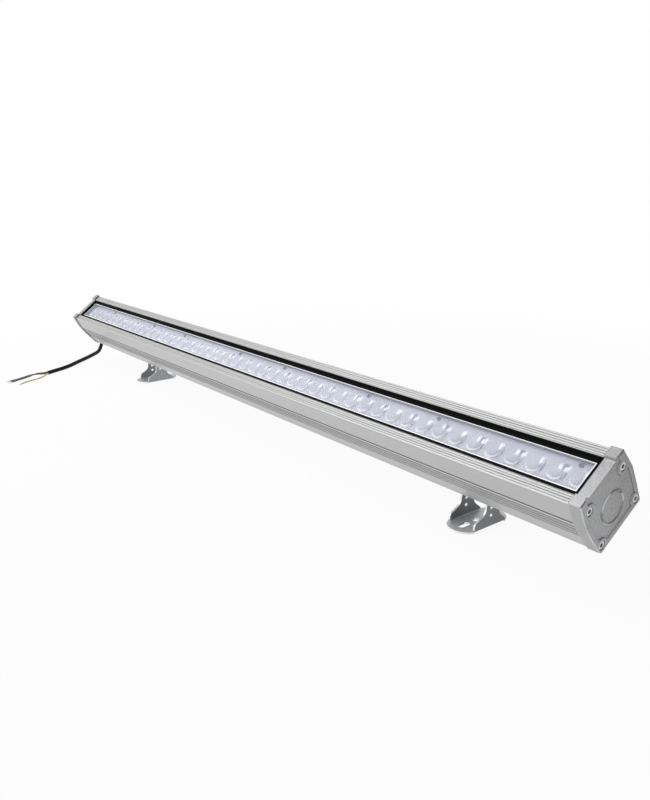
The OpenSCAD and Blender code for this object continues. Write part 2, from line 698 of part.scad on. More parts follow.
// Brackets: a folded plate with ears, on a saddle that slides along the back
function ear_side(half, foot) = let (neck = pivot_h - foot) [[0, pivot_h], [ear_r, pivot_h],
    [ear_r, foot + slope_share * neck], [1.12 * ear_r, foot + 0.2 * neck], [half, foot], [half, 0]];
function ear_radii(foot) = [0, 0, ear_r, ear_r, 0.4 * foot, 0];
module ear_shape() {
    polygon(soften(concat(ear_side(fold_len / 2 - base_shift, back_foot_h),
        mirrored(ear_side(fold_len / 2 + base_shift, foot_h))),
        concat(ear_radii(back_foot_h), reversed(ear_radii(foot_h)))));
    translate([0, pivot_h]) circle(r = ear_r);
}
module fold_profile() {
    half = bracket_w / 2;
    inner = bend_r - plate_t;
    top = pivot_h + ear_r + over;
    difference() {
        polygon(soften([[-half, 0], [-half, top], [half, top], [half, 0]], [bend_r, 0, 0, bend_r]));
        polygon(soften([[plate_t - half, plate_t], [plate_t - half, top + over],
            [half - plate_t, top + over], [half - plate_t, plate_t]], [inner, 0, 0, inner]));
    }
}
module base_shape() {
    rise = (base_len - fold_len) / 2;
    half = bracket_w / 2;
    r = (half * half + rise * rise) / (2 * rise);
    intersection() {
        for (s = [-1, 1]) translate([0, s * (base_len / 2 - r)]) circle(r = r);
        square([bracket_w - 2 * tiny, base_len], center = true);
    }
}
module bracket(x) translate([x, pivot_y, 0]) {
    difference() {
        union() {
            intersection() {
                translate([0, -base_shift, 0]) rotate([90, 0, 0])
                    linear_extrude(height = fold_len, center = true) fold_profile();
                along_x(bracket_w + over) ear_shape();
            }
            translate([0, -base_shift, 0]) linear_extrude(height = plate_t) difference() {
                base_shape();
                square([bracket_w + over, fold_len - 2 * tiny], center = true);
            }
        }
        translate([0, -base_shift, 0]) {
            for (s = [-1, 1]) translate([0, s * slot_gap / 2, -over]) slot_cut();
            translate([0, 0, -over]) cylinder(r = access_dia / 2, h = plate_t + 2 * over);
            for (h = [ear_hole_h, ear_hole_h + ear_hole_step]) translate([0, 0, h])
                round_x(ear_hole_dia / 2, -bracket_w, bracket_w);
        }
        translate([0, 0, pivot_h]) round_x(pivot_dia / 2 + slack, -bracket_w, bracket_w);
    }
}
module slot_cut() {
    run = (slot_len - slot_w) / 2;
    for (s = [-1, 1]) translate([0, s * run, 0]) cylinder(r = slot_w / 2, h = plate_t + 2 * over);
    translate([-slot_w / 2, -run, 0]) cube([slot_w, 2 * run, plate_t + 2 * over]);
}
module bracket_right() color("darkgray") bracket(right_x);
module bracket_left() color("darkgray") bracket(left_x);

// Saddle: a block under the back face, keyed into the slot
module at_saddle(x) lamp() translate([x, 0, -body_d - pivot_drop]) children();
module saddle(x) at_saddle(x) difference() {
    union() {
        along_x(2 * saddle_half) {
            circle(r = saddle_r);
            band(saddle_r, 0, pivot_drop - slack);
        }
        along_x(2 * saddle_half) band(mouth_w / 2 - fit, 0, pivot_drop + lip_t - gap);
    }
    both_ends() round_x(pivot_dia / 2 + slack, saddle_half - pivot_depth, saddle_half + over);
    translate([0, 0, -saddle_r - over]) {
        cylinder(r = clamp_dia / 2 + slack, h = saddle_r + pivot_drop + 4 * over);
        cylinder(r = clamp_head_r + gap, h = over + clamp_sink);
    }
}
module saddle_right() color("silver") saddle(right_x);
module saddle_left() color("silver") saddle(left_x);
module slide_nut(x) at_saddle(x) difference() {
    translate([-nut_len / 2, -slot_room_w / 2 + gap, pivot_drop + lip_t + slack])
        cube([nut_len, slot_room_w - 2 * gap, nut_t]);
    cylinder(r = clamp_dia / 2 + slack, h = body_d);
}
module slide_nut_right() color("gainsboro") slide_nut(right_x);
module slide_nut_left() color("gainsboro") slide_nut(left_x);
module clamp_screw(x) at_saddle(x) {
    seat = clamp_sink - saddle_r;
    difference() {
        union() {
            translate([0, 0, seat - tiny]) cylinder(r = clamp_dia / 2,
                h = pivot_drop + lip_t + slack + nut_t - seat);
            translate([0, 0, seat - clamp_head_h]) cylinder(r = clamp_head_r, h = clamp_head_h);
        }
        translate([0, 0, seat - clamp_head_h - over])
            cylinder(r = hex_share * clamp_head_r, h = clamp_head_h / 2 + over, $fn = 6);
    }
}
module clamp_screw_right() color("gainsboro") clamp_screw(right_x);
module clamp_screw_left() color("gainsboro") clamp_screw(left_x);
module pivot_bolts(x) at_saddle(x) both_ends() {
    head = bracket_w / 2 + 2 * slack + washer_t;
    round_x(pivot_dia / 2, saddle_half - pivot_depth + gap, head + tiny);
    hex_x(hex_r, head, head + hex_h);
}
module pivot_bolts_right() color("gainsboro") pivot_bolts(right_x);
module pivot_bolts_left() color("gainsboro") pivot_bolts(left_x);
module pivot_washers(x) at_saddle(x) both_ends() difference() {
    round_x(washer_r, bracket_w / 2 + slack, bracket_w / 2 + slack + washer_t);
    round_x(pivot_dia / 2 + slack, bracket_w / 2 - over, bracket_w);
}
module pivot_washers_right() color("lightgray") pivot_washers(right_x);
module pivot_washers_left() color("lightgray") pivot_washers(left_x);

housing();
end_cap_right();
end_cap_left();
cap_gasket_right();
cap_gasket_left();
cap_screws_right();
cap_screws_left();
glass_cover();
glass_seal();
lens_strip(0);  // lens_strip_1
lens_strip(1);  // lens_strip_2
lens_strip(2);  // lens_strip_3
lens_strip(3);  // lens_strip_4
led_board(0);  // led_board_1
led_board(1);  // led_board_2
led_board(2);  // led_board_3
led_board(3);  // led_board_4
led_chips(0);  // led_chips_1
led_chips(1);  // led_chips_2
led_chips(2);  // led_chips_3
led_chips(3);  // led_chips_4
strip_screws();
driver_case();
supply_leads();
board_leads();
gland_body();
gland_nut();
gland_seal();
gland_locknut();
cable_tail();
power_cable();
core_blue();
core_brown();
core_earth();
core_tips();
bracket_right();
saddle_right();
slide_nut_right();
clamp_screw_right();
pivot_bolts_right();
pivot_washers_right();
bracket_left();
saddle_left();
slide_nut_left();
clamp_screw_left();
pivot_bolts_left();
pivot_washers_left();
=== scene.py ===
import math

import bmesh
import bpy
from mathutils import Euler, Matrix, Vector


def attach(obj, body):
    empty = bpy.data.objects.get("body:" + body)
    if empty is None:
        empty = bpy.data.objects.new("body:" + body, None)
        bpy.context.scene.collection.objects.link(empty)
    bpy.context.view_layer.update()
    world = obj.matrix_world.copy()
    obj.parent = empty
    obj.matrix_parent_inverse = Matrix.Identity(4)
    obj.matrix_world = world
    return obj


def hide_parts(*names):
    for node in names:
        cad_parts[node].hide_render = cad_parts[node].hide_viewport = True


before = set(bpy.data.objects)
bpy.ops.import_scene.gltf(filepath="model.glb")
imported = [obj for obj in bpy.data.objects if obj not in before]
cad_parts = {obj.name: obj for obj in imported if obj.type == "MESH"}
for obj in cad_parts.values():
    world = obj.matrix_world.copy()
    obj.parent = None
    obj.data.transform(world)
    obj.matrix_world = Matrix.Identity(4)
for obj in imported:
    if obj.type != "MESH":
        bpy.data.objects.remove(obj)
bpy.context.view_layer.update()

MM = 0.001
WHITE = (1.0, 1.0, 1.0)
BLACK = (0.0, 0.0, 0.0)

# Camera, as fitted to the photograph's perspective
CAMERA_PLACE = Vector((0.760, -0.4878, 0.3070))
CAMERA_AIM = Vector((0.0095, 0.0612, -0.0607))
CAMERA_ROLL = math.radians(-0.84)
CAMERA_LENS = 32.73
CAMERA_SENSOR = 36
CAMERA_SHIFT = (0.0335, 0.0800)
CAMERA_CLIP = (0.01, 100)

# Studio: the floor's glow is a little weaker near the lamp, where it keeps the shadow
TOP_SOFTBOX = dict(place=(-0.7, -0.7, 1.8), aim=(0, 0, 0), size=(2.4, 1.2), power=22)
FRONT_SOFTBOX = dict(place=(-0.9, -1.8, 0.8), aim=(0, 0, 0.05), size=(1.8, 1.0), power=16)
SKY = (0.40, 0.405, 0.42)
PAPER = (0.85, 0.85, 0.85)
PAPER_ROUGHNESS = 0.9
FLOOR_HALF = 30
GLOW_NEAR, GLOW_FAR = 0.93, 1.0
GLOW_START, GLOW_STOP = 0.5, 1.1

# The lamp's own frame: its tilting axis, its tilt, and the depth of that axis below the shoulders
LAMP_PIVOT = Vector((0, 0.0170835, 0.043))
LAMP_TILT = math.radians(36)
LAMP_DEPTH = 70 * MM

# Materials: the edges between two tones, and the far half's tones of painted light and shade, which
# start this near the middle
SHARP, SOFT = 0.05 * MM, 0.2 * MM
HALFWAY = 100 * MM
NOISE_ROUGHNESS = 0.6

# Housing, in the lamp's frame: distances from its middle line, and depths below its shoulders
SIDE_FACE = 27 * MM
SHOULDER_SKIN, SHOULDER_EDGE = 1 * MM, 2 * MM
GROOVE_START, GROOVE_PITCH, GROOVE_COUNT = 21 * MM, 4.3 * MM, 5
GROOVE_LAST = GROOVE_START + (GROOVE_COUNT - 1) * GROOVE_PITCH
GROOVE_WIDTH = 1.9 * MM
FIRST_GROOVE_WIDTH = 1.7 * MM
RIDGE_WIDTH = 1.8 * MM
FADE_LOW_DOWN, FADE_NEAR_END = 0.6, 0.75
NEAR_START, NEAR_STOP = 100 * MM, 450 * MM
FIELD_START, FIELD_STOP, FIELD_SOFT = GROOVE_START - 0.5 * MM, GROOVE_LAST + 0.8 * MM, 0.3 * MM
SHOULDER_GROOVE, SHOULDER_GROOVE_WIDTH = 24.0 * MM, 0.9 * MM
SEAL_HALF, SEAL_TOP, SEAL_LOW = 19.4 * MM, 0.40 * MM, 1.2 * MM
WELL_HALF, WELL_TOP, WELL_LOW = 18.35 * MM, 4.0 * MM, 25 * MM

# Glass, in the lamp's frame: half its length and width, where its top begins, and its rims' widths
GLASS_HALF = (485.7 * MM, 14.6 * MM)
GLASS_TOP = -4.25 * MM
GROUND_RIM, SEALED_RIM, SIDE_RIM = 1.15 * MM, 0.4 * MM, 0.05 * MM
GLASS_SOFT = 0.03 * MM

# Ring on each cap: its reach, the depth of its middle, and the way that the light falls on it
RING_REACH, RING_DEPTH = 15.2 * MM, 28.6 * MM
RING_LIGHT = (0.5, 0.85)

# Bracket plate: heights above the floor
EAR_START = 2.6 * MM
PLATE_TOP = 2.02 * MM

# Lenses: marks by their middle and half size in millimetres, from the middle of a lens, and softness
LENS_PITCH = 20.3 * MM
RIB_PITCH = 1.9 * MM
RIBS_FROM, RIBS_SOFT = 250 * MM, 90 * MM
FAR_END_STOP, FAR_END_START = -450 * MM, -100 * MM
WOBBLE_SCALE, WOBBLE = 160.0, 4 * MM
BOWL = ((0, -1.5), (6.5, 6.5), 0.4)
CLEAR_OF_RIBS = ((-3.5, 0.5), (7.0, 6.5), 0.4)
RIBBED = ((4.0, -2.5), (7.0, 6.5), 0.4)
# The crescent is a painted highlight, SHADE a painted shade, the pair and lone marks painted glints,
# and RIBBED bounds the painted rib shade
CRESCENT_OUTSIDE = ((1.0, -1.6), (6.8, 7.4), 0.1)
CRESCENT_INSIDE = ((1.0, 0.4), (7.4, 7.2), 0.1)
SHADE = ((5.2, 6.2), (1.6, 2.6), 0.5)
GLINT_PAIR = (((2.0, 4.6), (1.5, 3.0), 0.4), ((7.8, 4.8), (1.4, 3.8), 0.3))
GLINT_ALONE = ((5.0, 5.0), (1.8, 3.6), 0.4)

# Cable: the routes' points are those of the solids, in millimetres, with the floor at zero
CABLE_DIA = 6.4 * MM
CORE_DIA = 2.2 * MM
CABLE_ROUTE = [
    (-522.2, -4.1, 72.1), (-530, -4.1, 72.1), (-537.5, -3.5, 71.7), (-544.5, -0.5, 70),
    (-550.5, 5, 67), (-555.5, 11.5, 63), (-560.5, 18, 57.5), (-565, 23.5, 51), (-569, 27.5, 44.5),
    (-571.5, 29.5, 37), (-573, 29.5, 29), (-572.5, 28, 21), (-570.5, 24.5, 14), (-566.5, 20, 8.5),
    (-561.5, 14.5, 4.7), (-555.5, 8, 3.4), (-546, -2, 3.3), (-536.5, -12, 3.3), (-527, -22.5, 3.3),
    (-516.5, -35, 3.3), (-506, -47.5, 3.3), (-496.5, -58.5, 3.3), (-488, -68.5, 3.3),
    (-481, -78, 3.4), (-475, -87.5, 3.5), (-469.5, -97.5, 3.7), (-464, -107.5, 3.9),
    (-458.5, -117.5, 4.1)]
BLUE_ROUTE = [
    (-459.4, -118.2, 3.4), (-458.6, -120, 3.4), (-459, -124, 3.4), (-462, -129.5, 3.3),
    (-465.5, -135.5, 3.2), (-466.5, -142, 3.1), (-464.5, -149, 3), (-460, -156.5, 3),
    (-455.5, -165, 3), (-451, -174, 3.1), (-448, -183, 3.2)]
BROWN_ROUTE = [
    (-458.4, -117.7, 5.4), (-457.5, -119.5, 5.5), (-457.5, -123.5, 5.5), (-459, -129, 5.4),
    (-461, -135, 5.1), (-459.5, -142, 4.6), (-455.5, -149, 4), (-452, -157, 3.5),
    (-448.5, -165.5, 3.2), (-445, -174, 3), (-440.5, -182.5, 3)]
EARTH_ROUTE = [
    (-457.3, -117.2, 3.4), (-456.4, -119, 3.4), (-454, -121.5, 3.3), (-450, -124.5, 3.2),
    (-445, -128.5, 3.1), (-440, -134, 3), (-435.5, -141, 3), (-432, -149, 3),
    (-429, -157.5, 3), (-424.5, -166, 3.1), (-418.5, -173.5, 3.2)]


def metres(route):
    return [Vector(p) * MM for p in route]


def grey(tone):
    return (tone, tone, tone)


def lamp_way(back, up):
    """A direction of the lamp's own frame, in the object's axes."""
    c, t = math.cos(LAMP_TILT), math.sin(LAMP_TILT)
    return (0, back * c - up * t, back * t + up * c)


def add_object(name, data):
    made = bpy.data.objects.new(name, data)
    bpy.context.scene.collection.objects.link(made)
    return made


# Camera
def make_camera():
    data = bpy.data.cameras.new("camera")
    data.lens = CAMERA_LENS
    data.sensor_width = CAMERA_SENSOR
    data.shift_x, data.shift_y = CAMERA_SHIFT
    data.clip_start, data.clip_end = CAMERA_CLIP
    camera = add_object("camera", data)
    turn = (CAMERA_AIM - CAMERA_PLACE).to_track_quat("-Z", "Y").to_matrix().to_4x4()
    roll = Matrix.Rotation(CAMERA_ROLL, 4, "Z")
    camera.matrix_world = Matrix.Translation(CAMERA_PLACE) @ turn @ roll
    bpy.context.scene.camera = camera


# Node trees
class Tree:
    """Short calls for the nodes of one tree. A value is a socket or, in sums, a plain number."""

    def __init__(self, node_tree):
        self.nodes = node_tree.nodes
        self.links = node_tree.links

    def node(self, kind, **values):
        made = self.nodes.new(kind)
        for key, value in values.items():
            setattr(made, key, value)
        return made

    def link(self, a, b):
        self.links.new(a, b)

    def math(self, what, a, b=0.0):
        node = self.node("ShaderNodeMath", operation=what)
        for socket, value in zip(node.inputs, (a, b)):
            if isinstance(value, (int, float)):
                socket.default_value = value
            else:
                self.link(value, socket)
        return node.outputs["Value"]

    def product(self, first, *others):
        for other in others:
            first = self.math("MULTIPLY", first, other)
        return first

    def minus(self, a, b):
        return self.math("SUBTRACT", a, b)

    def plus(self, a, b):
        return self.math("ADD", a, b)

    def larger(self, a, b):
        return self.math("MAXIMUM", a, b)

    def size(self, value):
        return self.math("ABSOLUTE", value)

    def span(self, value, low, high, start=0.3, stop=0.7):
        """Goes from low to high as the value goes from start to stop, which suit a noise."""
        ramp = self.node("ShaderNodeMapRange")
        ramp.inputs["From Min"].default_value = start
        ramp.inputs["From Max"].default_value = stop
        ramp.inputs["To Min"].default_value = low
        ramp.inputs["To Max"].default_value = high
        self.link(value, ramp.inputs["Value"])
        return ramp.outputs["Result"]

    def rise(self, value, start, stop):
        return self.span(value, 0.0, 1.0, start, stop)

    def fall(self, value, start, stop):
        return self.span(value, 1.0, 0.0, start, stop)

    def above(self, value, limit, soft):
        """One where the value is above the limit, with a soft start."""
        return self.rise(value, limit - soft, limit + soft)

    def mix(self, factor, a, b):
        mix = self.node("ShaderNodeMix", data_type="RGBA")
        self.link(factor, mix.inputs["Factor"])
        for socket, color in ((mix.inputs[6], a), (mix.inputs[7], b)):
            if isinstance(color, tuple):
                socket.default_value = (*color, 1.0)
            else:
                self.link(color, socket)
        return mix.outputs[2]

    def tinted(self, noise, a, b):
        """From one colour to the other as a noise goes up."""
        return self.mix(self.span(noise, 0.0, 1.0), a, b)

    def seen_rays(self):
        """One for camera, glossy and transmission rays."""
        rays = self.node("ShaderNodeLightPath").outputs
        mirrored = self.larger(rays["Is Camera Ray"], rays["Is Glossy Ray"])
        return self.larger(mirrored, rays["Is Transmission Ray"])


class Shader(Tree):
    """A Principled surface, with calls for what drives it and for places on the lamp."""

    def __init__(self, name, color, rough, metal=0.0):
        self.material = bpy.data.materials.new(name)
        self.material.use_nodes = True
        super().__init__(self.material.node_tree)
        self.surface = self.nodes["Principled BSDF"]
        self.set("Base Color", (*color, 1.0))
        self.set("Roughness", rough)
        self.set("Metallic", metal)

    def set(self, socket, value):
        self.surface.inputs[socket].default_value = value

    def color(self, output):
        self.link(output, self.surface.inputs["Base Color"])

    def rough(self, output):
        self.link(output, self.surface.inputs["Roughness"])

    def glow(self, output, strength):
        self.link(output, self.surface.inputs["Emission Color"])
        self.set("Emission Strength", strength)

    # Coordinates
    def coords(self, kind):
        return self.node("ShaderNodeTexCoord").outputs[kind]

    def mapped(self, where, **settings):
        mapping = self.node("ShaderNodeMapping")
        for name, value in settings.items():
            mapping.inputs[name].default_value = value
        self.link(where, mapping.inputs["Vector"])
        return mapping.outputs["Vector"]

    def place(self, scale=(1, 1, 1)):
        """Object coordinates in metres, stretched."""
        return self.mapped(self.coords("Object"), Scale=scale)

    def lamp_place(self):
        """Along the lamp, across its window with plus at the back, and up from its shoulders."""
        turn = Euler((-LAMP_TILT, 0, 0))
        shift = Vector((0, 0, -LAMP_DEPTH)) - turn.to_matrix() @ LAMP_PIVOT
        return self.mapped(self.coords("Object"), Rotation=turn, Location=shift)

    def axes(self, where):
        split = self.node("ShaderNodeSeparateXYZ")
        self.link(where, split.inputs["Vector"])
        return split.outputs

    def wobbled(self, place, scale, reach):
        """Coordinates pushed about a little, so that no two lenses look alike."""
        noise = self.node("ShaderNodeTexNoise")
        noise.inputs["Scale"].default_value = scale
        self.link(place, noise.inputs["Vector"])
        push = self.node("ShaderNodeVectorMath", operation="MULTIPLY_ADD")
        self.link(noise.outputs["Color"], push.inputs[0])
        push.inputs[1].default_value = (reach, reach, 0)
        self.link(place, push.inputs[2])
        shift = self.node("ShaderNodeVectorMath", operation="SUBTRACT")
        self.link(push.outputs["Vector"], shift.inputs[0])
        shift.inputs[1].default_value = (reach / 2, reach / 2, 0)
        return shift.outputs["Vector"]

    # Directions
    def dot(self, vector, way):
        node = self.node("ShaderNodeVectorMath", operation="DOT_PRODUCT")
        self.link(vector, node.inputs[0])
        node.inputs[1].default_value = way
        return node.outputs["Value"]

    def facing_up(self):
        """How far a face of the lamp looks the way its window does."""
        return self.dot(self.coords("Normal"), lamp_way(0, 1))

    def facing(self, normal, back, up):
        """How far a world normal looks along a direction of the lamp, whatever its tilt."""
        turn = self.node("ShaderNodeVectorTransform", vector_type="NORMAL")
        turn.convert_from, turn.convert_to = "WORLD", "OBJECT"
        self.link(normal, turn.inputs[0])
        return self.dot(turn.outputs[0], lamp_way(back, up))

    # Texture, edges and bumps
    def noise(self, where, scale, detail=3.0):
        noise = self.node("ShaderNodeTexNoise")
        noise.inputs["Scale"].default_value = scale
        noise.inputs["Detail"].default_value = detail
        noise.inputs["Roughness"].default_value = NOISE_ROUGHNESS
        self.link(where, noise.inputs["Vector"])
        return noise.outputs["Fac"]

    def grain(self, scale, detail, roughness, bump=None, stretch=(1, 1, 1)):
        """A noise in the roughness, and in bumps where their depth and strength are given."""
        noise = self.noise(self.place(stretch), scale, detail)
        self.rough(self.span(noise, *roughness))
        if bump:
            self.bump(noise, *bump)
        return noise

    def bevel(self, radius):
        """Rounded edges in the shading alone."""
        bevel = self.node("ShaderNodeBevel", samples=4)
        bevel.inputs["Radius"].default_value = radius
        return bevel.outputs["Normal"]

    def corner_shade_mask(self, reach, start=0.25, stop=0.8):
        """For painted shade: nought in the corners and one on open faces."""
        shade = self.node("ShaderNodeAmbientOcclusion", samples=8)
        shade.inputs["Distance"].default_value = reach
        return self.rise(shade.outputs["AO"], start, stop)

    def bump(self, height, depth, strength):
        """Bumps stack: a later one rides on the one before."""
        bump = self.node("ShaderNodeBump")
        bump.inputs["Distance"].default_value = depth
        bump.inputs["Strength"].default_value = strength
        self.link(height, bump.inputs["Height"])
        normal = self.surface.inputs["Normal"]
        if normal.is_linked:
            self.link(normal.links[0].from_socket, bump.inputs["Normal"])
        self.link(bump.outputs["Normal"], normal)

    def start_bumps(self, normal):
        """Puts rounded edges under the bumps."""
        last = self.surface.inputs["Normal"].links[0].from_node
        while last.inputs["Normal"].is_linked:
            last = last.inputs["Normal"].links[0].from_node
        self.link(normal, last.inputs["Normal"])

    # Places on the housing
    def on_sides(self, u):
        return self.above(self.size(u), SIDE_FACE, SOFT)

    def line(self, off, width):
        """One within a line, from the distance to its middle."""
        return self.above(self.minus(0.0, self.size(off)), -width / 2, 0.1 * width)

    def groove_rows(self, depth):
        """One within each of the side grooves."""
        steps = self.math("DIVIDE", self.minus(depth, GROOVE_START), GROOVE_PITCH)
        nearest = self.larger(self.math("ROUND", steps), 0.0)
        nearest = self.math("MINIMUM", nearest, GROOVE_COUNT - 1)
        return self.line(self.product(self.minus(steps, nearest), GROOVE_PITCH), GROOVE_WIDTH)

    def groove_shade_lines(self, place):
        """Painted shade on the floors of the grooves: on the sides fainter low down and at the near
        end, and weaker in one groove on each shoulder.
        """
        x, u, v = self.axes(place)
        depth = self.minus(0.0, v)
        low_down = self.span(depth, 1.0, FADE_LOW_DOWN, GROOVE_START + GROOVE_PITCH, GROOVE_LAST)
        near_end = self.span(x, 1.0, FADE_NEAR_END, NEAR_START, NEAR_STOP)
        sides = self.product(self.groove_rows(depth), self.on_sides(u), low_down, near_end, 0.9)
        top = self.line(self.minus(self.size(u), SHOULDER_GROOVE), SHOULDER_GROOVE_WIDTH)
        return self.larger(sides, self.product(top, self.above(v, -SHOULDER_EDGE, SOFT), 0.4))

    def side_line(self, place, deep, width):
        """One within a single line along the sides, at a depth below the shoulders."""
        _, u, v = self.axes(place)
        return self.product(self.line(self.plus(v, deep), width), self.on_sides(u))

    def groove_shade_field(self, place):
        """The stretch of the sides that the grooves take up, where shade is painted."""
        _, u, v = self.axes(place)
        depth = self.minus(0.0, v)
        below_start = self.above(depth, FIELD_START, FIELD_SOFT)
        before_stop = self.fall(depth, FIELD_STOP - FIELD_SOFT, FIELD_STOP + FIELD_SOFT)
        return self.product(below_start, before_stop, self.on_sides(u))

    def black_pocket_bevel(self, place):
        """One on the bevel round the seal's pocket, which is painted black."""
        _, u, v = self.axes(place)
        near = self.fall(self.size(u), SEAL_HALF - SHARP, SEAL_HALF)
        deep = self.fall(v, -SEAL_TOP - SHARP, -SEAL_TOP)
        return self.product(near, deep, self.above(v, -SEAL_LOW, SHARP))

    def inside_window(self, place):
        """One on the walls that are seen through the glass."""
        _, u, v = self.axes(place)
        near = self.fall(self.size(u), WELL_HALF - SHARP, WELL_HALF)
        deep = self.fall(v, -WELL_TOP - 2 * SHARP, -WELL_TOP)
        return self.product(near, deep, self.above(v, -WELL_LOW, 1 * MM))

    # Places on the caps, the glass, the lenses and the brackets
    def end_edges(self, soft):
        """One on the rounded edges between an end face and its sides, by the way they look; painted
        highlights go there.
        """
        along = self.size(self.axes(soft)["X"])
        return self.product(self.rise(along, 0.12, 0.4), self.fall(along, 0.88, 0.975))

    def ring_arcs(self, place):
        """Round the cap's ring: nought where its wall is in shade and one where it is lit."""
        _, u, v = self.axes(place)
        low = self.plus(v, RING_DEPTH)
        p, q = RING_LIGHT
        a = self.minus(self.product(u, p), self.product(low, q))
        b = self.plus(self.product(u, q), self.product(low, p))
        a, b = self.product(a, a), self.product(b, b)
        lobes = self.math("DIVIDE", self.minus(a, b), self.plus(a, b))
        near = self.fall(self.math("SQRT", self.plus(a, b)), RING_REACH, RING_REACH + 1 * MM)
        return lobes, near

    def glass_rim(self, place, inset):
        """One within the given distance of the glass's edge."""
        x, u, _ = self.axes(place)
        side = self.above(self.size(u), GLASS_HALF[1] - inset, GLASS_SOFT)
        end = self.above(self.size(x), GLASS_HALF[0] - inset, GLASS_SOFT)
        return self.larger(side, end)

    def spot(self, place, middle, half, soft):
        """One within an ellipse of each lens, with a soft edge."""
        x, u, _ = self.axes(place)
        turns = self.math("DIVIDE", x, LENS_PITCH)
        along = self.minus(self.minus(turns, self.math("FLOOR", turns)), 0.5)
        along = self.product(along, LENS_PITCH)
        a = self.math("DIVIDE", self.minus(along, middle[0] * MM), half[0] * MM)
        b = self.math("DIVIDE", self.minus(u, middle[1] * MM), half[1] * MM)
        square = self.plus(self.product(a, a), self.product(b, b))
        return self.fall(self.math("SQRT", square), 1.0 - soft, 1.0 + soft)

    def cut_edges(self):
        """The edges round a bracket's plate, by the way they look, which are painted bright."""
        x, _, z = self.axes(self.coords("Normal"))
        along = self.size(x)
        height = self.axes(self.coords("Object"))[2]
        ear = self.product(self.math("LESS_THAN", along, 0.5),
                           self.math("GREATER_THAN", height, EAR_START))
        base = self.product(self.math("LESS_THAN", self.size(z), 0.3),
                            self.math("LESS_THAN", height, PLATE_TOP),
                            self.math("LESS_THAN", along, 0.97))
        return self.larger(ear, base)

    def lit_level_faces(self):
        """One on the faces that lie level, which get painted light."""
        return self.above(self.size(self.axes(self.coords("Normal"))[2]), 0.8, 0.1)


# Housing
def anodised_extrusion():
    """Satin aluminium with streaks along it, painted shade in and round the grooves and in corners,
    a painted highlight on a ridge, painted light on the walls seen through the glass, and a black
    seal in its pocket.
    """
    s = Shader("anodised_extrusion", (0.56, 0.56, 0.555), 0.42, 0.35)
    place = s.lamp_place()
    height = s.axes(place)[2]
    streaks = s.noise(s.mapped(place, Scale=(3, 500, 500)), 1.0)
    clouds = s.noise(s.mapped(place, Scale=(2, 10, 10)), 1.0, 2.0)
    metal = s.tinted(clouds, (0.52, 0.522, 0.515), (0.56, 0.562, 0.555))
    metal = s.mix(s.span(streaks, 0.0, 0.25), metal, (0.49, 0.49, 0.485))
    # Painted shade over the stretch of the sides that the grooves take up
    metal = s.mix(s.groove_shade_field(place), metal, grey(0.46))
    metal = s.mix(s.above(height, -SHOULDER_SKIN, SOFT), metal, (0.50, 0.50, 0.495))
    # Painted shade in the grooves, darkest in the first, and a painted highlight on the ridge
    # between the first two
    grooves_shaded = s.mix(s.groove_shade_lines(place), metal, grey(0.13))
    ridge_highlight = s.side_line(place, GROOVE_START + GROOVE_PITCH / 2, RIDGE_WIDTH)
    grooves_shaded = s.mix(ridge_highlight, grooves_shaded, (0.66, 0.66, 0.655))
    grooves_shaded = s.mix(s.side_line(place, GROOVE_START, FIRST_GROOVE_WIDTH), grooves_shaded, grey(0.05))
    # Painted shade in the corners, weaker on the shoulders
    low_part = s.above(s.minus(0.0, height), SHOULDER_EDGE, SOFT)
    unshaded = s.larger(s.corner_shade_mask(1.2 * MM), s.minus(0.7, low_part))
    outside = s.mix(unshaded, grey(0.30), grooves_shaded)
    outside = s.mix(s.black_pocket_bevel(place), outside, grey(0.003))
    # Painted light: the walls seen through the glass take a pale bluish tone in place of their
    # shade, and lose the painted corner shade
    s.color(s.mix(s.inside_window(place), outside, (0.47, 0.48, 0.56)))
    s.rough(s.span(streaks, 0.36, 0.48))
    s.bump(s.noise(s.place(), 2400.0, 2.0), 0.01 * MM, 0.3)
    s.start_bumps(s.bevel(0.5 * MM))
    return s.material


# End caps
def cap_metal(s, place, speckle):
    """Speckled casting, with painted shade towards the back and on the far cap."""
    x, u, _ = s.axes(place)
    clouds = s.noise(s.place(), 45.0)
    light = s.tinted(clouds, (0.43, 0.43, 0.435), grey(0.50))
    dark = s.tinted(clouds, (0.27, 0.27, 0.275), grey(0.325))
    # The dark copy of the metal is painted shade, towards the back and on the far cap
    back = s.rise(u, -30 * MM, 30 * MM)
    far = s.fall(x, -HALFWAY, HALFWAY)
    metal = s.mix(s.larger(back, far), light, dark)
    metal = s.mix(s.span(speckle, 0.0, 0.45, 0.48, 0.68), metal, grey(0.60))
    return s.mix(s.span(speckle, 0.35, 0.0, 0.34, 0.48), metal, grey(0.20))


def cap_edge_light(s, place, soft):
    """Painted highlights on the edges, painted shade where they look up, and the ring's wall in
    painted shade and light.
    """
    lobes, inside = s.ring_arcs(place)
    upper = s.product(s.rise(s.facing(soft, 0, 1), 0.15, 0.4), s.minus(1.0, inside))
    edge = s.mix(upper, grey(0.80), grey(0.10))
    arcs = s.mix(s.rise(lobes, -0.3, 0.3), grey(0.08), grey(0.85))
    return s.mix(inside, edge, arcs)


def cap_corner_shade(s):
    """Painted shade in the corners, apart from the recess's wall that looks to the front and up,
    which gets a painted highlight.
    """
    normal = s.node("ShaderNodeNewGeometry").outputs["Normal"]
    lit_wall = s.rise(s.facing(normal, -0.8, 0.6), 0.45, 0.6)
    return s.mix(lit_wall, grey(0.05), grey(0.85))


